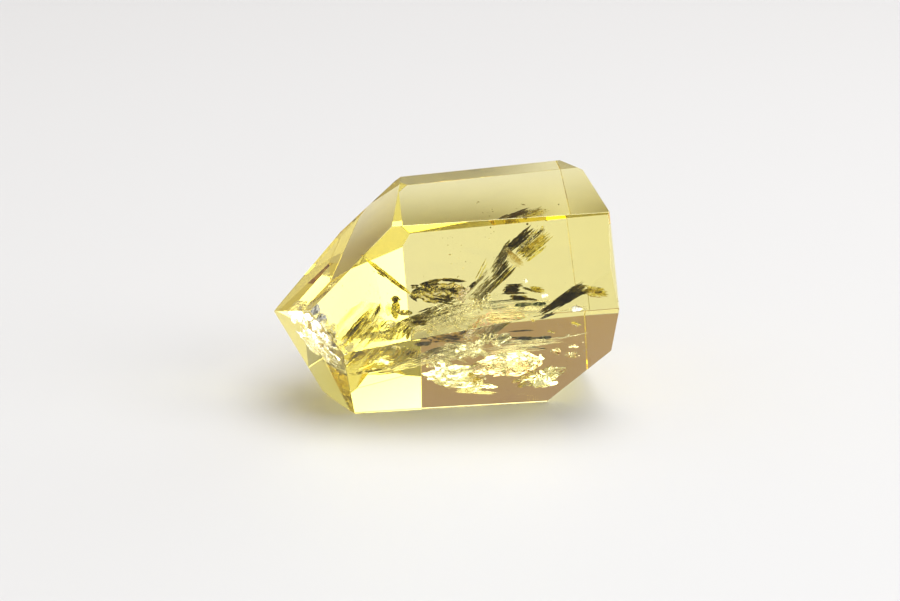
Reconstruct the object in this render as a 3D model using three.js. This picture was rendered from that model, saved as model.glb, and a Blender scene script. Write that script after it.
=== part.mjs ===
// A hand-polished citrine crystal point, lying on one of its long sides.
//
// The crystal is one solid piece of quartz. Six long prism faces run around its length, the
// left end narrows to a point, and the right end is ground flat. Every face is one flat
// cut, so the solid is what is left inside all the cuts. Each edge where two cuts meet is
// then softened by a very narrow flat, the arris, as hand polishing leaves it.
//
// Millimetres, +Z up. X runs along the crystal with the point at -X, and the prism face that
// it rests on lies in the plane z = 0.

import * as THREE from "three";

// ---- driving dimensions ---------------------------------------------------------------

// Height of the crystal's heart, the point that every cut is measured from.
const HEART_HEIGHT = 12.5;

// Width of the softened flat along an edge.
const ARRIS_WIDTH = 0.08;

// Two faces that turn by less than this meet in a plain line, with no arris.
const SOFTENED_TURN = THREE.MathUtils.degToRad(20);

// A corner counts as lying inside a cut when it is no further out than this.
const TOUCHING = 1e-7;

// One cut is given by the direction that it faces and by its distance from the heart:
//   roll  degrees around the length: 0 faces -Y, 90 faces up, -90 faces down, 180 faces +Y
//   lean  degrees that it leans towards an end: -90 faces -X, 0 faces sideways, 90 faces +X
//   reach distance from the heart to the cut
const CUTS = [
  // The six prism faces. An ideal crystal has them 60 degrees apart with no lean.
  { face: "bottom", roll: -90, lean: 0, reach: HEART_HEIGHT },
  { face: "lower front", roll: -30, lean: 5, reach: 13 },
  { face: "upper front", roll: 30, lean: -6, reach: 13 },
  { face: "top", roll: 85, lean: -5, reach: 12 },
  { face: "upper back", roll: 148, lean: -4, reach: 12.5 },
  { face: "lower back", roll: -149, lean: 0, reach: 12 },

  // The faces of the point: one over the top, three behind, one below, and a broad flat in
  // front that cuts its tip. In an ideal crystal each leans 38 degrees over a prism face.
  // The two front prism faces run right out to the flat.
  { face: "point, top", roll: 93, lean: -43, reach: 12.1 },
  { face: "point, back shoulder", roll: 150, lean: -30, reach: 12.8 },
  { face: "point, upper back", roll: 180, lean: -40, reach: 12.2 },
  { face: "point, lower back", roll: -147, lean: -34, reach: 11.4 },
  { face: "point, bottom", roll: -77, lean: -30, reach: 17.8 },
  { face: "tip flat", roll: -44, lean: -54, reach: 17.6 },

  // The ground end, and the smaller flats around its rim.
  { face: "end", roll: 145, lean: 85, reach: 18.8 },
  { face: "end, undercut", roll: -70, lean: 42, reach: 19 },
  { face: "end, front rim", roll: 30, lean: 55, reach: 24 },
  { face: "end, top corner", roll: 122, lean: 42, reach: 22.2 },

  // A shallow flat that takes the edge between the two front prism faces near the end.
  { face: "front corner", roll: 15, lean: 4, reach: 16 },
];

// ---- the solid left inside a set of cuts ----------------------------------------------

/** The plane of one cut, its normal facing out of the stone. */
function cutPlane({ roll, lean, reach }) {
  const around = THREE.MathUtils.degToRad(roll);
  const along = THREE.MathUtils.degToRad(lean);
  const outward = new THREE.Vector3(
    Math.sin(along),
    -Math.cos(along) * Math.cos(around),
    Math.cos(along) * Math.sin(around),
  );
  const heart = new THREE.Vector3(0, 0, HEART_HEIGHT);
  const onTheCut = heart.addScaledVector(outward, reach);
  return new THREE.Plane().setFromNormalAndCoplanarPoint(outward, onTheCut);
}

/** The point shared by three planes, or null where two of them are parallel. */
function sharedPoint(a, b, c) {
  const bc = b.normal.clone().cross(c.normal);
  const ca = c.normal.clone().cross(a.normal);
  const ab = a.normal.clone().cross(b.normal);
  const volume = a.normal.dot(bc);
  if (Math.abs(volume) < TOUCHING) {
    return null;
  }
  const point = bc.multiplyScalar(-a.constant);
  point.addScaledVector(ca, -b.constant);
  point.addScaledVector(ab, -c.constant);
  return point.divideScalar(volume);
}

/** Every corner of the solid inside the planes, with the three planes that make it. */
function cornersInside(planes) {
  const corners = [];
  for (let i = 0; i < planes.length; i += 1) {
    for (let j = i + 1; j < planes.length; j += 1) {
      for (let k = j + 1; k < planes.length; k += 1) {
        const point = sharedPoint(planes[i], planes[j], planes[k]);
        if (point && planes.every((plane) => plane.distanceToPoint(point) < TOUCHING)) {
          corners.push({ point, on: [i, j, k] });
        }
      }
    }
  }
  return corners;
}

/** One narrow plane along every sharp edge, taking off just its line. */
function arrisPlanes(planes) {
  const corners = cornersInside(planes);
  const arrises = [];
  for (let i = 0; i < planes.length; i += 1) {
    for (let j = i + 1; j < planes.length; j += 1) {
      const ends = corners.filter(({ on }) => on.includes(i) && on.includes(j));
      const turn = planes[i].normal.angleTo(planes[j].normal);
      if (ends.length === 2 && turn > SOFTENED_TURN) {
        const outward = planes[i].normal.clone().add(planes[j].normal).normalize();
        const depth = (ARRIS_WIDTH / 2) * Math.tan(turn / 2);
        const foot = ends[0].point.clone().addScaledVector(outward, -depth);
        arrises.push(new THREE.Plane().setFromNormalAndCoplanarPoint(outward, foot));
      }
    }
  }
  return arrises;
}

/** A closed geometry of the solid inside the planes, each face a fan of triangles. */
function solidInside(planes) {
  const corners = cornersInside(planes);
  const triangles = [];
  planes.forEach((plane, index) => {
    const rim = [];
    const middle = new THREE.Vector3();
    corners.forEach((corner, number) => {
      if (corner.on.includes(index)) {
        rim.push(number);
        middle.add(corner.point);
      }
    });
    if (rim.length < 3) {
      return;
    }
    middle.divideScalar(rim.length);
    const across = corners[rim[0]].point.clone().sub(middle).normalize();
    const up = plane.normal.clone().cross(across);
    const bearing = (number) => {
      const arm = corners[number].point.clone().sub(middle);
      return Math.atan2(arm.dot(up), arm.dot(across));
    };
    rim.sort((one, other) => bearing(one) - bearing(other));
    for (let step = 1; step < rim.length - 1; step += 1) {
      triangles.push(rim[0], rim[step], rim[step + 1]);
    }
  });

  const solid = new THREE.BufferGeometry();
  solid.setFromPoints(corners.map(({ point }) => point));
  solid.setIndex(triangles);
  return solid;
}

// ---- the crystal ----------------------------------------------------------------------

function citrineCrystal() {
  const cuts = CUTS.map(cutPlane);
  const shape = solidInside([...cuts, ...arrisPlanes(cuts)]);

  // The origin is under the middle of the stone, on the surface that it rests on.
  shape.computeBoundingBox();
  const middle = shape.boundingBox.getCenter(new THREE.Vector3());
  shape.translate(-middle.x, -middle.y, -shape.boundingBox.min.z);
  shape.computeVertexNormals();

  const citrine = new THREE.MeshStandardMaterial({
    color: 0xe6d98c,
    roughness: 0.04,
    metalness: 0,
    transparent: true,
    opacity: 0.45,
    flatShading: true,
  });
  const crystal = new THREE.Mesh(shape, citrine);
  crystal.name = "citrine_crystal";
  return crystal;
}

const point = new THREE.Group();
point.add(citrineCrystal());

export default point;
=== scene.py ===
import math
import random

import bpy
import numpy
from mathutils import Matrix, Vector, noise


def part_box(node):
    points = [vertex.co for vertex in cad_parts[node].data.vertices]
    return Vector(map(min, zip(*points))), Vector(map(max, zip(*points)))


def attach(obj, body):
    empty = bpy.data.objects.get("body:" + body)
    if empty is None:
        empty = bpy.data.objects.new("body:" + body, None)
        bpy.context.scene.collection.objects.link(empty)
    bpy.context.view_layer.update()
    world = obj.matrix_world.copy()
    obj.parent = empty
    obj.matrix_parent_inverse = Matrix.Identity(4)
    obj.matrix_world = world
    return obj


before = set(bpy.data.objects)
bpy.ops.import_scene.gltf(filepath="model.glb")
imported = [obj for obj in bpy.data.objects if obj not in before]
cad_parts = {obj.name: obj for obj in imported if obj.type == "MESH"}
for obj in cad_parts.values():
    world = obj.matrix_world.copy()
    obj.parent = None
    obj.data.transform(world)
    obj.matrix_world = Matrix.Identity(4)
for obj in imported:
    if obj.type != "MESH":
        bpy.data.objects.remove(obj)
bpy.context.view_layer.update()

MM = 0.001
QUARTZ_IOR = 1.544

# ---- camera -----------------------------------------------------------------------------

CAMERA_LENS = 98
SENSOR_WIDTH = 36
CAMERA_DISTANCE = 300 * MM
CAMERA_AZIMUTH = math.radians(-7)
CAMERA_ELEVATION = math.radians(20)
CAMERA_ROLL = math.radians(1.5)

# The camera looks at a point a little to the right of the stone's middle and below it.
STONE_LOW, STONE_HIGH = (Vector(corner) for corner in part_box("citrine_crystal"))
STONE_MIDDLE = (STONE_LOW + STONE_HIGH) / 2
CAMERA_TARGET = STONE_MIDDLE + Vector((1.6, 0, -2.3)) * MM

# The unit vector from the stone towards the camera.
TOWARDS_CAMERA = Vector((
    math.sin(CAMERA_AZIMUTH) * math.cos(CAMERA_ELEVATION),
    -math.cos(CAMERA_AZIMUTH) * math.cos(CAMERA_ELEVATION),
    math.sin(CAMERA_ELEVATION),
))


def direction(azimuth, elevation):
    """The unit vector at an azimuth, 0 at +Y and 90 at +X, and an elevation, in degrees."""
    round_it, up = math.radians(azimuth), math.radians(elevation)
    flat = math.cos(up)
    return Vector((math.sin(round_it) * flat, math.cos(round_it) * flat, math.sin(up)))


def make_camera():
    data = bpy.data.cameras.new("camera")
    data.lens = CAMERA_LENS
    data.sensor_width = SENSOR_WIDTH
    data.clip_start = 0.01
    data.clip_end = 20
    camera = bpy.data.objects.new("camera", data)
    bpy.context.collection.objects.link(camera)
    look = (-TOWARDS_CAMERA).to_track_quat("-Z", "Y").to_matrix().to_4x4()
    camera.matrix_world = (
        Matrix.Translation(CAMERA_TARGET + TOWARDS_CAMERA * CAMERA_DISTANCE)
        @ look
        @ Matrix.Rotation(CAMERA_ROLL, 4, "Z")
    )
    bpy.context.scene.camera = camera


# ---- floor and light --------------------------------------------------------------------

# Half of the floor's side, in metres, and the gap that keeps it clear of the stone.
FLOOR_REACH = 3.0
FLOOR_GAP = 0.02 * MM
FLOOR_COLOUR = (0.655, 0.655, 0.635, 1)


def make_floor():
    """A plain pale square, a hair below the stone's bed."""
    mesh = bpy.data.meshes.new("floor")
    far = FLOOR_REACH
    corners = [(-far, -far, 0), (far, -far, 0), (far, far, 0), (-far, far, 0)]
    mesh.from_pydata(corners, [], [(0, 1, 2, 3)])
    floor = bpy.data.objects.new("floor", mesh)
    floor.location.z = -FLOOR_GAP
    bpy.context.collection.objects.link(floor)
    material = bpy.data.materials.new("floor_white")
    material.use_nodes = True
    shader = material.node_tree.nodes["Principled BSDF"]
    shader.inputs["Base Color"].default_value = FLOOR_COLOUR
    shader.inputs["Roughness"].default_value = 0.55
    mesh.materials.append(material)


def make_area_light(name, azimuth, elevation, distance, size, power, colour):
    """A round soft light that shines on the stone from a distance in metres."""
    data = bpy.data.lights.new(name, "AREA")
    data.shape = "DISK"
    data.size = size
    data.energy = power
    data.color = colour
    light = bpy.data.objects.new(name, data)
    light.location = direction(azimuth, elevation) * distance
    light.rotation_euler = light.location.to_track_quat("Z", "Y").to_euler()
    bpy.context.collection.objects.link(light)


# The surroundings: a room that grows paler with height, and soft-edged cards in it. A card
# is its azimuth, its elevation, the angles from its middle at which it starts to fade and is
# gone, all in degrees, and its colour. The brown ones stand in for the photograph's wood.
ROOM_LOW = (0.57, 0.56, 0.56, 1)
ROOM_HIGH = (0.74, 0.74, 0.75, 1)
CARDS = [
    (180, 20, 35, 60, (0.40, 0.40, 0.40, 1)),
    (-26, 16, 14, 23, (0.40, 0.27, 0.21, 1)),
    (-8, 17, 15, 24, (0.45, 0.30, 0.24, 1)),
    (12, 18, 14, 22, (0.43, 0.29, 0.23, 1)),
    (-62, 4, 16, 26, (0.05, 0.04, 0.03, 1)),
    (-22, 40, 9, 15, (0.09, 0.07, 0.05, 1)),
    (0, 41, 9, 15, (0.09, 0.07, 0.05, 1)),
    (18, 40, 9, 15, (0.09, 0.07, 0.05, 1)),
    (52, 6, 14, 26, (1.9, 2.0, 2.4, 1)),
]


def make_world():
    """The room with its cards, of which the camera's own rays see only the pale upper tone."""
    world = bpy.data.worlds.new("studio")
    bpy.context.scene.world = world
    world.use_nodes = True
    nodes = world.node_tree.nodes
    links = world.node_tree.links
    background = nodes["Background"]
    coords = nodes.new("ShaderNodeTexCoord")
    split = nodes.new("ShaderNodeSeparateXYZ")
    links.new(coords.outputs["Generated"], split.inputs[0])
    ramp = nodes.new("ShaderNodeValToRGB")
    ramp.color_ramp.elements[0].position = 0.0
    ramp.color_ramp.elements[0].color = ROOM_LOW
    ramp.color_ramp.elements[1].position = 0.8
    ramp.color_ramp.elements[1].color = ROOM_HIGH
    links.new(split.outputs["Z"], ramp.inputs["Fac"])
    colour = ramp.outputs["Color"]
    for azimuth, elevation, full, end, tone in CARDS:
        dot = nodes.new("ShaderNodeVectorMath")
        dot.operation = "DOT_PRODUCT"
        links.new(coords.outputs["Generated"], dot.inputs[0])
        dot.inputs[1].default_value = direction(azimuth, elevation)
        fade = nodes.new("ShaderNodeMapRange")
        fade.interpolation_type = "SMOOTHSTEP"
        fade.inputs["From Min"].default_value = math.cos(math.radians(end))
        fade.inputs["From Max"].default_value = math.cos(math.radians(full))
        links.new(dot.outputs["Value"], fade.inputs["Value"])
        mix = nodes.new("ShaderNodeMix")
        mix.data_type = "RGBA"
        links.new(fade.outputs["Result"], mix.inputs["Factor"])
        links.new(colour, mix.inputs["A"])
        mix.inputs["B"].default_value = tone
        colour = mix.outputs["Result"]
    path = nodes.new("ShaderNodeLightPath")
    backdrop = nodes.new("ShaderNodeMix")
    backdrop.data_type = "RGBA"
    links.new(path.outputs["Is Camera Ray"], backdrop.inputs["Factor"])
    links.new(colour, backdrop.inputs["A"])
    backdrop.inputs["B"].default_value = ROOM_HIGH
    links.new(backdrop.outputs["Result"], background.inputs["Color"])
    background.inputs["Strength"].default_value = 1.0


# ---- materials --------------------------------------------------------------------------

# The colour that the quartz lets through, and how strongly it absorbs the rest, per metre.
CITRINE_COLOUR = (0.965, 0.88, 0.03, 1)
CITRINE_DENSITY = 39


def make_citrine():
    """Clear quartz with a yellow body, its polish a little wavy and smeared by handling."""
    material = bpy.data.materials.new("citrine")
    material.use_nodes = True
    nodes = material.node_tree.nodes
    links = material.node_tree.links
    shader = nodes["Principled BSDF"]
    shader.inputs["Base Color"].default_value = (1, 1, 1, 1)
    shader.inputs["IOR"].default_value = QUARTZ_IOR
    shader.inputs["Transmission Weight"].default_value = 1.0
    coords = nodes.new("ShaderNodeTexCoord")
    waves = nodes.new("ShaderNodeTexNoise")
    waves.inputs["Scale"].default_value = 0.22 / MM
    waves.inputs["Detail"].default_value = 1
    links.new(coords.outputs["Object"], waves.inputs["Vector"])
    polish = nodes.new("ShaderNodeBump")
    polish.inputs["Strength"].default_value = 0.12
    polish.inputs["Distance"].default_value = 0.01 * MM
    links.new(waves.outputs["Fac"], polish.inputs["Height"])
    links.new(polish.outputs["Normal"], shader.inputs["Normal"])
    smears = nodes.new("ShaderNodeTexNoise")
    smears.inputs["Scale"].default_value = 0.5 / MM
    smears.inputs["Detail"].default_value = 5
    links.new(coords.outputs["Object"], smears.inputs["Vector"])
    handled = nodes.new("ShaderNodeMapRange")
    handled.inputs["From Min"].default_value = 0.52
    handled.inputs["From Max"].default_value = 0.75
    handled.inputs["To Max"].default_value = 0.05
    links.new(smears.outputs["Fac"], handled.inputs["Value"])
    links.new(handled.outputs["Result"], shader.inputs["Roughness"])
    absorb = nodes.new("ShaderNodeVolumeAbsorption")
    absorb.inputs["Color"].default_value = CITRINE_COLOUR
    absorb.inputs["Density"].default_value = CITRINE_DENSITY
    links.new(absorb.outputs["Volume"], nodes["Material Output"].inputs["Volume"])
    return material


def make_crack(name, stops, grain, turn=0, stretch=(1, 1, 1), frost=None):
    """A thin sheet of air in the quartz, a mirror at a slant and, face on, a pane coloured by its
    stain and painted shade.

    stops are the steps and colours of the stain and painted shade over a noise of so many grains
    per millimetre, stretched along axes that are turned about Y by so many degrees. frost, where it is
    given, is how far matt spots spread over the sheet, and their tone.
    """
    material = bpy.data.materials.new(name)
    material.use_nodes = True
    nodes = material.node_tree.nodes
    links = material.node_tree.links
    nodes.remove(nodes["Principled BSDF"])
    coords = nodes.new("ShaderNodeTexCoord")
    mapping = nodes.new("ShaderNodeMapping")
    mapping.vector_type = "TEXTURE"
    mapping.inputs["Rotation"].default_value = (0, math.radians(turn), 0)
    mapping.inputs["Scale"].default_value = stretch
    links.new(coords.outputs["Object"], mapping.inputs["Vector"])
    grains = nodes.new("ShaderNodeTexNoise")
    grains.inputs["Scale"].default_value = grain / MM
    grains.inputs["Detail"].default_value = 4
    grains.inputs["Roughness"].default_value = 0.6
    links.new(mapping.outputs["Vector"], grains.inputs["Vector"])
    stain_and_shade = nodes.new("ShaderNodeValToRGB")
    ramp = stain_and_shade.color_ramp
    while len(ramp.elements) < len(stops):
        ramp.elements.new(0.5)
    for element, (position, colour) in zip(ramp.elements, stops):
        element.position = position
        element.color = (*colour, 1)
    links.new(grains.outputs["Fac"], stain_and_shade.inputs["Fac"])
    bump = nodes.new("ShaderNodeBump")
    bump.inputs["Strength"].default_value = 0.5
    bump.inputs["Distance"].default_value = 0.04 * MM
    links.new(grains.outputs["Fac"], bump.inputs["Height"])
    air = nodes.new("ShaderNodeBsdfGlass")
    air.inputs["IOR"].default_value = 1 / QUARTZ_IOR
    air.inputs["Roughness"].default_value = 0
    links.new(stain_and_shade.outputs["Color"], air.inputs["Color"])
    links.new(bump.outputs["Normal"], air.inputs["Normal"])
    surface = air.outputs["BSDF"]
    if frost:
        share, tone = frost
        spots = nodes.new("ShaderNodeTexNoise")
        spots.inputs["Scale"].default_value = grain * 0.8 / MM
        spots.inputs["Detail"].default_value = 3
        links.new(mapping.outputs["Vector"], spots.inputs["Vector"])
        mask = nodes.new("ShaderNodeMapRange")
        mask.inputs["From Min"].default_value = 0.62 - 0.3 * share
        mask.inputs["From Max"].default_value = 0.70 - 0.3 * share
        links.new(spots.outputs["Fac"], mask.inputs["Value"])
        matt = nodes.new("ShaderNodeBsdfTranslucent")
        matt.inputs["Color"].default_value = (*tone, 1)
        dusty = nodes.new("ShaderNodeBsdfDiffuse")
        dusty.inputs["Color"].default_value = (*tone, 1)
        both = nodes.new("ShaderNodeMixShader")
        both.inputs["Fac"].default_value = 0.5
        links.new(matt.outputs["BSDF"], both.inputs[1])
        links.new(dusty.outputs["BSDF"], both.inputs[2])
        mixed = nodes.new("ShaderNodeMixShader")
        links.new(mask.outputs["Result"], mixed.inputs["Fac"])
        links.new(surface, mixed.inputs[1])
        links.new(both.outputs["Shader"], mixed.inputs[2])
        surface = mixed.outputs["Shader"]
    links.new(surface, nodes["Material Output"].inputs["Surface"])
    return material


# ---- shapes of cracks -------------------------------------------------------------------

crystal = bpy.data.objects["citrine_crystal"]

# The stone's faces, as their outward normals and their distances from the origin, and the
# sound skin that no crack breaks through.
STONE_NORMALS = numpy.array([side.normal for side in crystal.data.polygons])
STONE_REACHES = numpy.array([side.normal.dot(side.center) for side in crystal.data.polygons])
SKIN = 0.05 * MM

# In millimetres: how thick the sheets are in their middle, and how uneven a splinter is.
SPLINTER_THICKNESS = 0.03
SPLINTER_UNEVENNESS = 0.08
DISC_THICKNESS = 0.04

# Corners that agree to this many millimetres are one corner.
SAME_PLACE = 1e-4

# A splinter's mesh, in steps along it and rows across it.
SPLINTER_STEPS = 14
SPLINTER_ROWS = 3

# Ranges of lean, in degrees, as roll_axes takes it. A sheet that faces the camera shows its
# stain and its painted shade. Behind the lower front face, a slanted one mirrors the soft light
# overhead.
FACE_ON = (65, 115)
SLANTED = (-50, -34)
FLAKE_SLANT = (-48, -36)


def inside_stone(corners):
    """Whether every corner, in millimetres, lies at least a skin's depth inside the stone."""
    places = numpy.array(corners) * MM
    depths = STONE_REACHES - places @ STONE_NORMALS.T
    return depths.min() > SKIN


def link_piece(name, parts, material):
    """One object from the (corners, faces) parts that lie wholly inside the stone."""
    corners, faces = [], []
    for part_corners, part_faces in parts:
        if not inside_stone(part_corners):
            continue
        first = len(corners)
        corners.extend(corner * MM for corner in part_corners)
        faces.extend(tuple(first + index for index in face) for face in part_faces)
    mesh = bpy.data.meshes.new(name)
    mesh.from_pydata(corners, [], faces)
    mesh.validate()
    mesh.materials.append(material)
    piece = bpy.data.objects.new(name, mesh)
    bpy.context.collection.objects.link(piece)
    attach(piece, "root")


def roll_axes(along, lean):
    """The normal and the across direction of a sheet that contains along.

    At lean 0 the sheet also contains Y, and its normal turns towards -Y as lean falls.
    """
    side = along.cross(Vector((0, 1, 0))).normalized()
    deep = side.cross(along).normalized()
    turn = math.radians(lean)
    normal = side * math.cos(turn) + deep * math.sin(turn)
    return normal, normal.cross(along).normalized()


def turned_to(sight, onward, heading):
    """The along direction and the lean of a sheet that mirrors a line of sight onward.

    Its along direction is as near to the heading as the sheet allows.
    """
    normal = (onward.normalized() - sight).normalized()
    along = (heading - normal * heading.dot(normal)).normalized()
    side = along.cross(Vector((0, 1, 0))).normalized()
    return along, math.degrees(math.atan2(normal.dot(side.cross(along)), normal.dot(side)))


def weld(corners, faces):
    """The same faces with corners that coincide made one, and no face without an area."""
    seen, kept, swap = {}, [], []
    for corner in corners:
        key = tuple(round(value / SAME_PLACE) for value in corner)
        if key not in seen:
            seen[key] = len(kept)
            kept.append(corner)
        swap.append(seen[key])
    tidy = []
    for face in faces:
        ring = []
        for index in face:
            number = swap[index]
            if number not in ring:
                ring.append(number)
        if len(ring) > 2:
            tidy.append(tuple(ring))
    return kept, tidy


def splinter(start, end, lean, width, seed):
    """A long narrow sheet with ragged sides and pointed ends, a closed shell thin as foil."""
    along = (end - start).normalized()
    length = (end - start).length
    normal, across = roll_axes(along, lean)
    rng = random.Random(seed)
    bend = rng.uniform(-0.02, 0.02) * length
    front, back = [], []
    for i in range(SPLINTER_STEPS + 1):
        s = i / SPLINTER_STEPS
        taper = max(0.0, min(1, s / 0.2, (1 - s) / 0.25)) ** 0.7
        left = 1 + rng.uniform(-0.35, 0.35)
        right = 1 + rng.uniform(-0.35, 0.35)
        for j in range(SPLINTER_ROWS + 1):
            t = 2 * j / SPLINTER_ROWS - 1
            edge = right if t > 0 else left
            place = start + along * (length * s) + across * (0.5 * width * taper * t * edge)
            ripple = noise.noise(place * 1.6 + Vector((seed, 0, 0))) * SPLINTER_UNEVENNESS
            ripple += noise.noise(place * 5 + Vector((0, seed, 0))) * SPLINTER_UNEVENNESS * 0.3
            place += normal * ripple + across * (bend * 4 * s * (1 - s))
            gap = 0.5 * SPLINTER_THICKNESS * taper * (1 - t * t) ** 0.5
            front.append(place + normal * gap)
            back.append(place - normal * gap)
    count = len(front)
    faces = []
    for i in range(SPLINTER_STEPS):
        for j in range(SPLINTER_ROWS):
            a = i * (SPLINTER_ROWS + 1) + j
            b = a + 1
            c = a + SPLINTER_ROWS + 2
            d = a + SPLINTER_ROWS + 1
            faces.append((a, b, c, d))
            faces.append((count + a, count + d, count + c, count + b))
    return weld(front + back, faces)


def fan(start, end, count, seed, width, thin, lean=FACE_ON, depth=0.7, stagger=0.25, opening=1.0):
    """A bundle of splinters that fills a strip from start to end, in millimetres.

    thin is the range of the splinters' widths, depth how far they stray along Y, stagger how
    far they start late or end early as a share of the strip, and opening how many times as
    wide the strip is at its end as at its start.
    """
    rng = random.Random(seed)
    along = (end - start).normalized()
    side = along.cross(Vector((0, 1, 0))).normalized()
    parts = []
    for k in range(count):
        lane = rng.uniform(-0.5, 0.5) * width
        first = rng.uniform(0, stagger)
        last = 1 - rng.uniform(0, stagger)
        nearer = Vector((0, rng.uniform(-depth, depth), 0))
        one = start.lerp(end, first) + side * lane * (1 + (opening - 1) * first) + nearer
        two = start.lerp(end, last) + side * lane * (1 + (opening - 1) * last) + nearer
        lean_here = rng.uniform(*lean)
        width_here = rng.uniform(*thin)
        parts.append(splinter(one, two, lean_here, width_here, seed * 50 + k))
    return parts


def oval(half_length, half_width, count=12):
    """The reaches of an oval's rim, evenly round it."""
    reaches = []
    for k in range(count):
        angle = math.tau * k / count
        flat = half_width * math.cos(angle), half_length * math.sin(angle)
        reaches.append(half_length * half_width / math.hypot(*flat))
    return reaches


def ragged(half_length, half_width, seed):
    """The reaches of an oval's rim, each drawn in or out by chance."""
    rng = random.Random(seed)
    return [reach * rng.uniform(0.55, 1.2) for reach in oval(half_length, half_width, 15)]


def rippled(height, grain, seed):
    """A relief for a crack: a noise of some height, and a finer and lower one on top."""
    shift = Vector((seed, 2 * seed, -seed))

    def relief(place):
        slow = noise.noise(place * grain + shift)
        return height * (slow + 0.25 * noise.noise(place * grain * 3.7 + shift))

    return relief


def disc(centre, lean, along, radii, relief, seed, rings=26, spokes=96):
    """A crack with an uneven rounded outline, a closed lens as thin as foil.

    radii are the reaches of its rim, evenly round it from the along direction.
    """
    along = along.normalized()
    normal, across = roll_axes(along, lean)
    front, back = [], []
    for i in range(rings + 1):
        rho = i / rings
        for j in range(spokes):
            angle = 2 * math.pi * j / spokes
            place_on_rim = len(radii) * j / spokes
            low = int(place_on_rim)
            part = place_on_rim - low
            part = part * part * (3 - 2 * part)
            reach = radii[low] * (1 - part) + radii[(low + 1) % len(radii)] * part
            wander = Vector((4 * math.cos(angle), 4 * math.sin(angle), seed))
            reach *= 1 + 0.10 * noise.noise(wander)
            place = centre + (along * math.cos(angle) + across * math.sin(angle)) * reach * rho
            place += normal * relief(place)
            gap = 0.5 * DISC_THICKNESS * (1 - rho * rho) ** 0.5
            front.append(place + normal * gap)
            back.append(place - normal * gap)
    count = len(front)
    faces = []
    for i in range(rings):
        for j in range(spokes):
            a = i * spokes + j
            b = i * spokes + (j + 1) % spokes
            c = b + spokes
            d = a + spokes
            faces.append((a, d, c, b))
            faces.append((count + a, count + b, count + c, count + d))
    return weld(front + back, faces)


def oval_disc(centre, lean, along, halves, relief, seed):
    """A disc with an oval outline, by half its length and width, and a relief by its noise."""
    return disc(centre, lean, Vector(along), oval(*halves), rippled(*relief, seed), seed)


def crumbs(centre, spread, count, size, flat, seed):
    """Many small flat-sided gaps scattered about a centre, as in crushed quartz."""
    rng = random.Random(seed)
    parts = []
    for _ in range(count):
        middle = centre + Vector([rng.gauss(0, reach) for reach in spread])
        turned_by = rng.uniform(0, math.tau)
        axis = Vector([rng.gauss(0, 1) for _ in range(3)])
        turn = Matrix.Rotation(turned_by, 3, axis)
        half = size * math.exp(rng.gauss(0, 0.5)) * 0.5
        sides = rng.randint(4, 6)
        tip = turn @ Vector((0, 0, half * flat))
        corners = [middle + tip, middle - tip]
        for k in range(sides):
            angle = math.tau * (k + rng.uniform(-0.3, 0.3)) / sides
            reach = half * rng.uniform(0.6, 1.2)
            rim = Vector((math.cos(angle) * reach, math.sin(angle) * reach, 0))
            corners.append(middle + turn @ rim)
        faces = []
        for k in range(sides):
            a = 2 + k
            b = 2 + (k + 1) % sides
            faces.append((0, a, b))
            faces.append((1, b, a))
        parts.append((corners, faces))
    return parts


def flakes(centre, spread, count, size, lean, seed):
    """Smooth rounded sheets of about one lean, scattered about a centre."""
    rng = random.Random(seed)
    parts = []
    for k in range(count):
        stray = [rng.uniform(-1.5, 1.5) * rng.random() ** 0.4 * reach for reach in spread]
        middle = centre + Vector(stray)
        along = Vector((1, rng.uniform(-0.12, 0.12), rng.uniform(-0.4, 0.4)))
        long = size * math.exp(rng.gauss(0, 0.45)) * 0.5
        radii = [long * rng.uniform(0.25, 1.25) for _ in range(9)]
        lean_here = rng.uniform(*lean)
        relief = rippled(0.06, 0.8, seed + k)
        parts.append(disc(
            middle, lean_here, along, radii, relief, seed * 100 + k, rings=6, spokes=27))
    return parts


# ---- the cracks in this stone -----------------------------------------------------------

# A face faces some way when the cosine of the angle between them is more than this.
ROUGHLY = 0.94


def stone_face(*facing):
    """The outward normal and a point, in millimetres, of the largest face facing this way."""
    facing = Vector(facing).normalized()
    sides = [side for side in crystal.data.polygons if side.normal.dot(facing) > ROUGHLY]
    largest = max(sides, key=lambda side: side.area)
    return largest.normal.copy(), largest.center / MM


def sight_through(normal):
    """The direction of the camera's line of sight once it is inside the quartz."""
    ratio = 1 / QUARTZ_IOR
    cosine = TOWARDS_CAMERA.dot(normal)
    inside = math.sqrt(1 - ratio * ratio * (1 - cosine * cosine))
    return -TOWARDS_CAMERA * ratio + normal * (ratio * cosine - inside)


UPPER_FRONT, _ = stone_face(0, -0.87, 0.5)
LOWER_FRONT, _ = stone_face(0, -0.87, -0.5)
SIGHT_UPPER = sight_through(UPPER_FRONT)
SIGHT_LOWER = sight_through(LOWER_FRONT)

# Cracks are placed in millimetres across from the stone's middle and up from its bed, on a
# plane a little in front of the middle. A crack that is slid along the line of sight through
# a face, to another Y, stays where the camera sees it.
ACROSS, BED = STONE_MIDDLE.x / MM, STONE_LOW.z / MM
MIDDLE = STONE_MIDDLE.y / MM - 3.0
NEAR = MIDDLE - 5.0


def at(x, z, y=MIDDLE, sight=SIGHT_UPPER):
    """The place x across and z up on that plane, slid to y along a line of sight."""
    return Vector((ACROSS + x, MIDDLE, BED + z)) + sight * ((y - MIDDLE) / sight.y)


def low_at(x, z, y):
    """The same, slid along the line of sight through the lower front face."""
    return at(x, z, y, SIGHT_LOWER)


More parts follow.
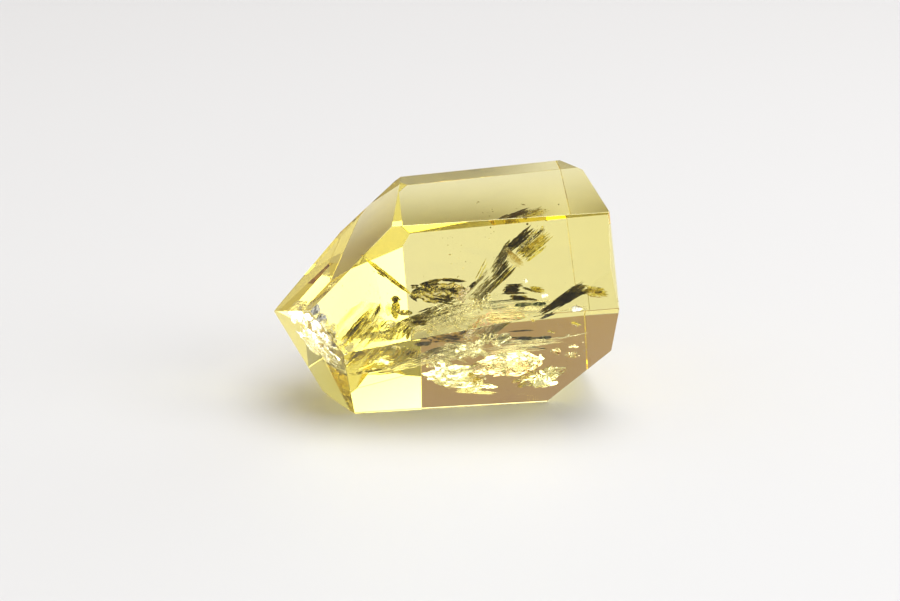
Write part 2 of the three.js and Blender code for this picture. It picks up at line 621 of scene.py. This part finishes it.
def make_plume(tones):
    """A sheaf of splinters from the crushed centre up towards the upper edge in front."""
    dark = fan(at(7.7, 17.6), at(11.1, 20.9), 14, 1, 0.9, (0.15, 0.4))
    dark += fan(at(8.8, 17.2), at(12.4, 20.7), 4, 2, 0.14, (0.12, 0.2), depth=0.2, stagger=0.1)
    dark += fan(at(6.3, 13.6), at(8.7, 16.4), 14, 3, 1.3, (0.12, 0.34))
    dark += fan(at(5.0, 12.4), at(7.0, 14.6), 7, 19, 1.3, (0.08, 0.16), stagger=0.4)
    dark += fan(at(6.8, 15.8), at(7.9, 17.8), 5, 4, 0.5, (0.15, 0.3), stagger=0.1)
    dark += fan(at(6.2, 12.6), at(8.9, 15.1), 2, 5, 0.1, (0.1, 0.16), depth=0.2, stagger=0.05)
    dark += fan(at(3.5, 12.7), at(4.4, 13.7), 4, 6, 0.5, (0.15, 0.3), stagger=0.1)
    dark += fan(at(9.4, 16.6), at(11.4, 18.6), 5, 18, 1.0, (0.1, 0.22), stagger=0.4)
    link_piece("plume_dark", dark, tones["dark"])
    grey = fan(at(6.0, 14.6), at(8.7, 19.4), 12, 7, 1.0, (0.15, 0.4))
    grey += fan(at(3.6, 11.0), at(6.8, 14.6), 30, 8, 2.3, (0.08, 0.24))
    link_piece("plume_grey", grey, tones["grey"])
    gold = fan(at(9.2, 16.7), at(13.3, 20.0), 26, 9, 1.6, (0.1, 0.3), opening=0.9)
    gold += fan(at(10.2, 16.3), at(12.8, 18.6), 3, 10, 0.2, (0.15, 0.25), stagger=0.1)
    gold += fan(at(3.9, 13.6), at(5.6, 17.4), 4, 11, 0.7, (0.08, 0.16))
    gold += fan(at(5.9, 12.4), at(9.2, 15.8), 5, 13, 0.34, (0.2, 0.32), depth=0.2, stagger=0.08)
    link_piece("plume_gold", gold, tones["gold"])
    pale = fan(at(8.5, 17.2), at(11.7, 20.8), 6, 12, 0.5, (0.2, 0.4), depth=0.3)
    pale += fan(at(11.6, 19.4), at(12.3, 20.9), 4, 14, 0.5, (0.15, 0.25), stagger=0.1)
    link_piece("plume_pale", pale, tones["pale"])
    patch = fan(
        at(7.4, 18.0, -4.2), at(9.9, 15.6, -4.2), 7, 15, 0.8, (0.3, 0.6), depth=0.2, stagger=0.1)
    link_piece("plume_cross_patch", patch, tones["beige"])
    chips = crumbs(at(4.8, 11.1), (0.5, 0.6, 0.4), 60, 0.5, 0.3, 16)
    chips += crumbs(at(5.7, 11.6), (0.2, 0.4, 0.4), 20, 0.45, 0.3, 17)
    link_piece("plume_base_chips", chips, tones["clear"])


def make_lenses(tones):
    """The cracks to the right of the plume, the dark wedge, and three that catch the light."""
    back = 1.7
    front = -13.4
    # The dark lens and the wedge are sheets stained dark: their darkness is partly stain and partly
    # painted shade.
    dark = fan(
        at(7.5, 12.6, back), at(10.0, 12.8, back), 9, 21, 0.55, (0.2, 0.45), depth=0.3, stagger=0.15)
    dark += fan(
        at(9.8, 12.9, back), at(12.4, 12.1, back), 3, 22, 0.15, (0.12, 0.2), depth=0.3, stagger=0.1)
    link_piece("lens_dark", dark, tones["dark"])
    wedge = fan(
        at(11.6, 9.3, front), at(17.4, 13.0, front), 40, 23, 0.26, (0.10, 0.26),
        stagger=0.5, opening=4.6)
    wedge += fan(
        at(15.0, 12.0, front), at(17.6, 12.7, front), 10, 20, 0.8, (0.12, 0.26), stagger=0.3)
    link_piece("wedge_dark", wedge, tones["wedge"])
    brown = fan(
        at(7.8, 13.1, back), at(10.2, 13.2, back), 4, 24, 0.25, (0.12, 0.22), depth=0.3, stagger=0.1)
    brown += fan(
        at(8.4, 11.7, back), at(10.9, 11.5, back), 7, 25, 0.5, (0.15, 0.35), depth=0.3, stagger=0.2)
    brown += fan(at(10.0, 11.5, back), at(12.3, 11.0, back), 3, 26, 0.15, (0.15, 0.25), depth=0.3)
    brown += fan(at(6.9, 12.2), at(11.2, 12.3), 3, 27, 0.15, (0.12, 0.22), depth=0.3)
    link_piece("lens_brown", brown, tones["brown"])
    gold = fan(
        at(10.8, 12.9, back), at(12.9, 12.7, back), 9, 28, 0.9, (0.25, 0.5), depth=0.4, stagger=0.3)
    gold += fan(at(16.6, 12.5, front), at(20.0, 11.9, front), 14, 29, 0.9, (0.15, 0.4), depth=0.4)
    link_piece("lens_gold", gold, tones["gold"])
    out_of_the_end = Vector((0.88, 0.42, 0.22))
    along, lean = turned_to(SIGHT_UPPER, out_of_the_end, Vector((1, 1.15, -0.3)))
    white = [
        disc(at(16.0, 10.7, -8.0), lean, along, ragged(1.2, 0.55, 30), rippled(0.03, 0.8, 30), 30),
        disc(at(10.3, 13.8), lean, along, ragged(0.6, 0.35, 31), rippled(0.03, 0.8, 31), 31),
        disc(at(12.7, 11.8), lean, along, ragged(1.2, 0.26, 32), rippled(0.03, 0.8, 32), 32),
    ]
    link_piece("lens_white", white, tones["clear"])


def make_mottled_veil(tones):
    """The mottled oval left of the plume, its rim and the dark patches round it."""
    veil = [oval_disc(at(-0.2, 12.5), 80, (1, 0, 0.05), (3.3, 1.45), (0.35, 0.7), 5)]
    link_piece("mottled_veil", veil, tones["mottled"])
    rim = fan(
        at(-2.6, 13.4, -2.6), at(0.4, 14.2, -2.6), 3, 33, 0.2, (0.2, 0.35), depth=0.3, stagger=0.1)
    rim += fan(
        at(-0.2, 14.15, -2.6), at(3.3, 13.8, -2.6), 4, 34, 0.25, (0.25, 0.4), depth=0.3, stagger=0.1)
    link_piece("mottled_veil_rim", rim, tones["brown"])
    dark = fan(at(-3.6, 13.2), at(-2.4, 13.2), 3, 35, 0.2, (0.2, 0.3), stagger=0.1)
    dark += fan(at(-2.7, 12.8), at(-1.3, 12.8), 4, 36, 0.4, (0.2, 0.35), stagger=0.1)
    dark += fan(at(-1.4, 12.9), at(0.0, 13.6), 5, 37, 0.7, (0.15, 0.3), stagger=0.3)
    dark += fan(at(-1.2, 11.9), at(2.0, 11.2), 7, 38, 0.9, (0.15, 0.3), stagger=0.5)
    dark += fan(at(0.8, 13.2), at(2.4, 12.7), 5, 39, 0.7, (0.15, 0.3), stagger=0.4)
    link_piece("mottled_veil_dark", dark, tones["dark"])
    lilac = crumbs(at(2.6, 12.2), (0.35, 0.4, 0.6), 60, 0.4, 0.3, 40)
    link_piece("lilac_spot", lilac, tones["lilac"])


def make_left_cracks(tones):
    """The needle, the dark blot, the comb and the sweeps between the centre and the point."""
    needle = fan(
        at(-9.3, 17.3, NEAR), at(-3.2, 12.0, NEAR), 4, 41, 0.35, (0.25, 0.45), depth=0.4, stagger=0.15)
    link_piece("left_needle", needle, tones["gold"])
    gold = fan(at(-5.5, 6.4, NEAR), at(-4.9, 8.4, NEAR), 6, 42, 1.0, (0.15, 0.4), stagger=0.2)
    gold += fan(at(-3.9, 6.4, NEAR), at(-3.5, 8.2, NEAR), 6, 43, 1.4, (0.15, 0.35), stagger=0.2)
    gold += fan(at(-7.6, 10.4, NEAR), at(-11.6, 5.6, NEAR), 10, 44, 1.3, (0.3, 0.6), stagger=0.35)
    gold += fan(at(-6.8, 9.0, NEAR), at(-9.4, 5.8, NEAR), 8, 45, 1.4, (0.2, 0.5), stagger=0.35)
    gold.append(oval_disc(at(-6.05, 10.4, NEAR), 88, (0, 0, 1), (0.8, 0.38), (0.1, 0.9), 46))
    gold.append(oval_disc(at(-5.9, 6.8, NEAR), 88, (1, 0, 0), (0.5, 0.4), (0.1, 0.9), 47))
    link_piece("left_gold", gold, tones["straw"])
    dark = [oval_disc(at(-5.2, 10.4, NEAR), 88, (0, 0, 1), (1.3, 0.5), (0.2, 0.9), 48)]
    dark.append(oval_disc(at(-4.1, 9.9, NEAR), 85, (1, 0, 0), (0.9, 0.4), (0.2, 0.9), 49))
    dark += fan(at(-3.6, 8.7, NEAR), at(-1.1, 8.8, NEAR), 6, 50, 0.4, (0.2, 0.4), stagger=0.2)
    dark += fan(at(-3.6, 12.1, NEAR), at(-2.6, 11.3, NEAR), 3, 51, 0.3, (0.15, 0.25), stagger=0.1)
    dark += fan(at(-7.6, 15.3, NEAR), at(-6.5, 14.5, NEAR), 2, 52, 0.1, (0.1, 0.16), stagger=0.05)
    dark += fan(at(-9.2, 9.3, NEAR), at(-10.4, 8.2, NEAR), 2, 53, 0.15, (0.12, 0.2), stagger=0.1)
    dark += fan(at(-6.9, 7.7, NEAR), at(-6.0, 8.9, NEAR), 4, 54, 0.6, (0.08, 0.16), stagger=0.3)
    dark += fan(at(-4.6, 7.0, NEAR), at(-3.4, 8.4, NEAR), 8, 55, 1.6, (0.07, 0.15), stagger=0.4)
    dark += fan(at(-7.0, 11.4, NEAR), at(-7.8, 9.6, NEAR), 2, 56, 0.15, (0.12, 0.2), stagger=0.1)
    link_piece("left_dark", dark, tones["dark"])
    brown = fan(at(-5.9, 11.6, NEAR), at(-4.6, 11.9, NEAR), 4, 57, 0.5, (0.25, 0.4), stagger=0.2)
    brown += fan(
        at(-8.3, 16.3, NEAR), at(-3.3, 11.9, NEAR), 3, 58, 0.5, (0.08, 0.14), depth=0.4, stagger=0.15)
    brown += fan(at(-8.8, 9.9, NEAR), at(-12.2, 5.6, NEAR), 6, 59, 0.9, (0.12, 0.3), stagger=0.4)
    link_piece("left_brown", brown, tones["brown"])
    pale = fan(at(-6.9, 11.2, NEAR), at(-8.2, 8.4, NEAR), 4, 60, 0.5, (0.2, 0.4), stagger=0.2)
    pale += fan(at(-6.3, 8.6, NEAR), at(-4.9, 8.0, NEAR), 4, 61, 0.6, (0.2, 0.4), stagger=0.3)
    link_piece("left_pale", pale, tones["pale"])
    haze = [oval_disc(at(-9.4, 8.2, NEAR), 84, (-1, 0, -1.1), (3.8, 2.4), (0.15, 0.5), 62)]
    haze.append(oval_disc(at(-6.2, 7.6, NEAR + 1), 88, (1, 0, 0.1), (2.9, 1.3), (0.15, 0.5), 63))
    link_piece("left_haze", haze, tones["haze"])


def make_tip_flakes(tones):
    """Small smooth cracks under the upper half of the tip flat, turned to shine from above."""
    outward, middle = stone_face(-0.81, -0.42, -0.41)
    overhead = Vector((-0.3, 0.1, 0.95))
    along, lean = turned_to(sight_through(outward), overhead, Vector((0, 0, 1)))
    up = (Vector((0, 0, 1)) - outward * outward.z).normalized()
    rng = random.Random(69)
    parts = []
    for k in range(90):
        centre = middle + up * rng.uniform(0.2, 6.5) - outward * rng.uniform(0.7, 1.4)
        centre += outward.cross(up) * rng.uniform(-4.5, 4.5)
        radii = [rng.uniform(0.3, 1.15) for _ in range(9)]
        lean_here = lean + rng.uniform(-5, 5)
        relief = rippled(0.04, 0.8, k)
        parts.append(disc(
            centre, lean_here, along, radii, relief, 690 + k, rings=6, spokes=22))
    link_piece("tip_flakes", parts, tones["clear"])


def make_crushed_centre(tones):
    """Where the cracks meet: pale strands that cross, small mirrors and a few crumbs."""
    strands = fan(
        at(-2.6, 7.6), at(5.4, 10.6), 16, 71, 2.0, (0.10, 0.30), lean=(-55, 0), stagger=0.5)
    strands += fan(
        at(-1.6, 11.4), at(3.4, 8.0), 14, 72, 2.2, (0.10, 0.26), lean=(-55, 0), stagger=0.5)
    strands += fan(
        at(0.6, 7.4), at(4.4, 12.4), 14, 74, 2.0, (0.08, 0.24), lean=(-55, 0), stagger=0.5)
    link_piece("crushed_strands", strands, tones["clear"])
    mirrors = flakes(at(1.8, 9.4), (1.7, 0.8, 1.0), 34, 1.1, (-60, -25), 75)
    mirrors += flakes(at(-1.2, 7.9), (0.9, 0.6, 0.6), 14, 0.9, (-60, -25), 76)
    mirrors += flakes(at(5.6, 10.8), (1.2, 0.6, 0.5), 10, 0.9, (-60, -25), 77)
    link_piece("crushed_mirrors", mirrors, tones["clear"])
    loose = crumbs(at(2.0, 9.4), (1.6, 0.9, 0.9), 46, 0.3, 0.2, 73)
    link_piece("crushed_crumbs", loose, tones["clear"])


def make_lower_veil(tones):
    """The wide slanted crack behind the lower front face: white parts, a rim and a film."""
    left = [disc(
        low_at(1.4, 5.2, -3.4), -42, Vector((1, 0, -0.22)),
        [3.9, 3.6, 2.9, 2.7, 3.5, 3.0, 2.5, 3.0], rippled(0.10, 0.45, 81), 81)]
    left += flakes(low_at(0.8, 5.4, -4.4), (1.8, 0.5, 1.3), 30, 1.7, FLAKE_SLANT, 82)
    left += flakes(low_at(4.0, 3.4, -4.6), (1.8, 0.4, 0.6), 16, 1.3, FLAKE_SLANT, 80)
    right = [disc(
        low_at(12.0, 4.2, -3.2), -42, Vector((1, 0, 0.42)),
        [3.4, 2.4, 1.6, 2.0, 3.0, 1.9, 1.5, 2.2], rippled(0.12, 0.6, 85), 85)]
    right += flakes(low_at(12.0, 4.6, -4.0), (1.8, 0.5, 1.1), 26, 1.5, FLAKE_SLANT, 86)
    right += flakes(low_at(9.4, 7.6, -4.0), (2.6, 0.5, 0.7), 16, 1.2, FLAKE_SLANT, 79)
    link_piece("lower_veil_white", left + right, tones["clear"])
    rim = fan(
        low_at(1.0, 2.9, -4.6), low_at(8.0, 1.7, -4.6), 7, 87, 0.4, (0.2, 0.45),
        lean=SLANTED, stagger=0.4)
    rim += fan(
        low_at(-2.0, 6.2, -4.2), low_at(1.6, 2.8, -4.2), 6, 88, 0.4, (0.2, 0.4),
        lean=SLANTED, stagger=0.4)
    rim += flakes(low_at(8.8, 5.6, -3.8), (0.9, 0.4, 0.8), 8, 0.9, SLANTED, 89)
    link_piece("lower_veil_rim", rim, tones["clear"])
    film = [disc(
        low_at(7.4, 6.6, -3), -44, Vector((1, 0, 0.06)),
        [4.6, 4.0, 3.4, 3.3, 4.4, 2.8, 2.4, 3.4], rippled(0.16, 0.5, 83), 83, rings=30, spokes=120)]
    film += flakes(low_at(15.2, 8.4, -3.4), (1.3, 0.4, 0.7), 9, 1.3, (-48, -38), 84)
    link_piece("lower_veil_film", film, tones["film"])


def make_specks(tones):
    """Loose specks: dark ones under the top face, and fine dust in three places."""
    top = STONE_HIGH.z / MM
    dark = crumbs(
        Vector((ACROSS + 4.6, MIDDLE + 1.6, top - 3.9)), (0.1, 0.3, 0.1), 3, 0.3, 0.5, 111)
    dark += crumbs(
        Vector((ACROSS + 9.6, MIDDLE - 1.5, top - 4.2)), (2.4, 1.0, 0.3), 12, 0.22, 0.4, 112)
    link_piece("specks_dark", dark, tones["dark"])
    dust = crumbs(low_at(13.6, 8.0, -6.0), (2.4, 2.2, 2.2), 90, 0.13, 0.5, 113)
    dust += crumbs(at(-9.5, 11.5, NEAR), (2.6, 1.4, 1.6), 60, 0.13, 0.5, 114)
    dust += crumbs(at(3.0, 17.0), (2.6, 1.4, 1.8), 50, 0.12, 0.5, 115)
    link_piece("dust", dust, tones["clear"])


def make_streaks(tones):
    """The long flat cracks above the lower veil, and the wisps that run to the point."""
    pale = fan(at(3.4, 9.9), at(15.6, 10.3), 18, 91, 1.3, (0.16, 0.42), lean=SLANTED, stagger=0.45)
    pale += fan(at(3.0, 9.0), at(12.6, 9.2), 14, 92, 0.9, (0.14, 0.36), lean=SLANTED, stagger=0.45)
    pale.append(oval_disc(low_at(13.6, 10.7, -3.6), 70, (1, 0, 0.02), (1.0, 0.22), (0.1, 0.9), 93))
    pale += fan(at(13.4, 10.6), at(17.6, 11.4), 3, 90, 0.2, (0.12, 0.2), lean=SLANTED, stagger=0.1)
    link_piece("streaks_pale", pale, tones["clear"])
    dark = [oval_disc(low_at(10.9, 10.9, -3.6), 88, (1, 0, 0.02), (1.9, 0.17), (0.1, 0.9), 94)]
    dark += fan(at(5.0, 11.0), at(10.0, 11.3), 4, 95, 0.3, (0.08, 0.15), depth=0.4, stagger=0.3)
    dark += fan(at(4.6, 10.2), at(8.4, 10.6), 3, 96, 0.5, (0.08, 0.18), depth=0.4, stagger=0.3)
    link_piece("streaks_dark", dark, tones["teal"])
    wisps = fan(
        at(-12.0, 6.3), at(-4.5, 7.6), 12, 97, 1.2, (0.12, 0.35), lean=(20, 110), stagger=0.4)
    wisps += fan(
        at(-7.6, 6.9), at(1.5, 10.6), 14, 98, 1.2, (0.10, 0.3), lean=(-50, -20), stagger=0.4)
    wisps += fan(
        at(-4.0, 8.8), at(4.5, 11.2), 12, 99, 1.0, (0.1, 0.26), lean=(-50, -20), stagger=0.4)
    link_piece("wisps_grey", wisps, tones["grey"])
    light = fan(at(-8.4, 8.8), at(-6.6, 9.2), 3, 101, 0.5, (0.4, 0.7), stagger=0.1)
    light += fan(
        at(-9.6, 6.5), at(-3.0, 7.6), 10, 102, 1.0, (0.12, 0.34), lean=SLANTED, stagger=0.4)
    light += fan(at(-5.4, 7.3), at(3.0, 9.8), 14, 103, 1.3, (0.14, 0.4), lean=SLANTED, stagger=0.4)
    light += flakes(at(-7.7, 8.4), (1.0, 0.3, 0.25), 8, 1.1, FLAKE_SLANT, 100)
    link_piece("wisps_pale", light, tones["clear"])
    brown = fan(at(-7.2, 7.9), at(-4.2, 8.4), 4, 104, 0.5, (0.1, 0.2), stagger=0.3)
    brown += fan(at(-8.6, 6.3), at(-5.2, 6.7), 4, 105, 0.5, (0.1, 0.18), stagger=0.3)
    brown += fan(at(-3.4, 9.2), at(0.0, 10.4), 4, 106, 0.4, (0.1, 0.2), stagger=0.3)
    link_piece("wisps_brown", brown, tones["brown"])


# ---- the stains, and the scene put together ---------------------------------------------

# Light passes a stain twice, once at each side of the sheet, and is coloured both times. The
# black and dark teal steps are partly stain and partly painted shade in the cracks.
SHADE_AND_STAIN_BLACK = (0.17, 0.165, 0.08)
SHADE_AND_STAIN_TEAL = (0.10, 0.14, 0.12)
TEAL = (0.4, 0.44, 0.34)
OLIVE = (0.50, 0.48, 0.20)
STRAW = (0.62, 0.58, 0.34)
PALE_STRAW = (0.90, 0.87, 0.62)
BROWN = (0.60, 0.53, 0.32)
RUST = (0.66, 0.50, 0.42)
PEACH = (0.94, 0.72, 0.62)
PINK = (0.98, 0.76, 0.82)
PALE_GREEN = (0.84, 0.95, 0.82)
LILAC = (0.84, 0.76, 0.9)
PALE_LILAC = (0.97, 0.93, 1.0)
GOLD = (0.97, 0.93, 0.54)
MIST = (0.84, 0.82, 0.64)
PALE_MIST = (0.94, 0.93, 0.80)
BEIGE = (0.90, 0.85, 0.72)
PALE_BEIGE = (0.97, 0.95, 0.86)
PALE_ROSE = (0.9, 0.86, 0.84)
CREAM = (1.0, 1.0, 0.94)
IVORY = (0.99, 0.98, 0.90)
GREY = (0.74, 0.72, 0.64)
WHITE = (1.0, 1.0, 1.0)

# Each stain's steps and its grains per millimetre, and then, where it needs them, the turn
# and the stretch of its axes, and its matt spots. The black steps of the dark, wedge, brown and
# mottled ones and the dark teal step of the teal one are partly painted shade.
STAINS_AND_PAINTED_SHADE = {
    "dark": ([(0.34, SHADE_AND_STAIN_BLACK), (0.48, OLIVE), (0.56, BROWN), (0.64, CREAM)], 3.4, -48, (2.4, 1, 0.8)),
    "wedge": ([(0.40, SHADE_AND_STAIN_BLACK), (0.50, OLIVE), (0.58, BROWN), (0.66, GOLD)], 5.0),
    "brown": ([(0.34, SHADE_AND_STAIN_BLACK), (0.46, OLIVE), (0.56, BROWN), (0.70, GOLD)], 2.6),
    "grey": ([(0.35, OLIVE), (0.48, GREY), (0.60, WHITE)], 3.0, -45, (2.4, 1, 0.8)),
    "gold": ([(0.32, OLIVE), (0.46, GOLD), (0.62, CREAM)], 3.0, -48, (2.4, 1, 0.8)),
    "pale": ([(0.3, GOLD), (0.42, CREAM), (0.8, WHITE)], 2.4, 0, (1, 1, 1), (0.4, IVORY)),
    "clear": ([(0.3, GREY), (0.38, WHITE), (0.8, WHITE)], 2.4),
    "teal": ([(0.35, SHADE_AND_STAIN_TEAL), (0.50, TEAL), (0.64, WHITE)], 2.4),
    "mottled": (
        [(0.38, SHADE_AND_STAIN_BLACK), (0.46, BROWN), (0.52, GOLD), (0.58, PALE_ROSE), (0.66, WHITE)],
        2.2, 0, (1.5, 1, 0.8)),
    "beige": ([(0.30, BEIGE), (0.50, PALE_BEIGE), (0.66, WHITE)], 3.4),
    "straw": ([(0.34, STRAW), (0.46, PALE_STRAW), (0.62, CREAM)], 3.0, -48, (2.4, 1, 0.8)),
    "lilac": ([(0.3, LILAC), (0.5, WHITE)], 2.4, 0, (1, 1, 1), (0.6, PALE_LILAC)),
    "haze": ([(0.36, MIST), (0.48, PALE_MIST), (0.60, WHITE)], 0.9, -52, (4.5, 1, 0.8)),
    "film": ([(0.34, RUST), (0.43, PEACH), (0.50, PALE_GREEN), (0.56, PINK), (0.66, WHITE)], 0.9),
}

TONES = {name: make_crack(f"crack_{name}", *stain_and_shade) for name, stain_and_shade in STAINS_AND_PAINTED_SHADE.items()}

crystal.data.materials.clear()
crystal.data.materials.append(make_citrine())

make_plume(TONES)
make_lenses(TONES)
make_mottled_veil(TONES)
make_left_cracks(TONES)
make_tip_flakes(TONES)
make_crushed_centre(TONES)
make_lower_veil(TONES)
make_streaks(TONES)
make_specks(TONES)

make_camera()
make_floor()
make_world()
make_area_light(
    "softbox_overhead", azimuth=90, elevation=80, distance=0.8, size=0.8, power=5.6,
    colour=(1.0, 1.0, 1.04))
make_area_light(
    "softbox_side", azimuth=108, elevation=33, distance=0.8, size=0.45, power=1.7,
    colour=(1.0, 1.0, 1.03))

scene = bpy.context.scene
scene.view_settings.view_transform = "Standard"
scene.cycles.max_bounces = 24
scene.cycles.diffuse_bounces = 10
scene.cycles.blur_glossy = 0.0
scene.cycles.caustics_reflective = True
scene.cycles.caustics_refractive = True
scene.cycles.glossy_bounces = 16
scene.cycles.transmission_bounces = 24
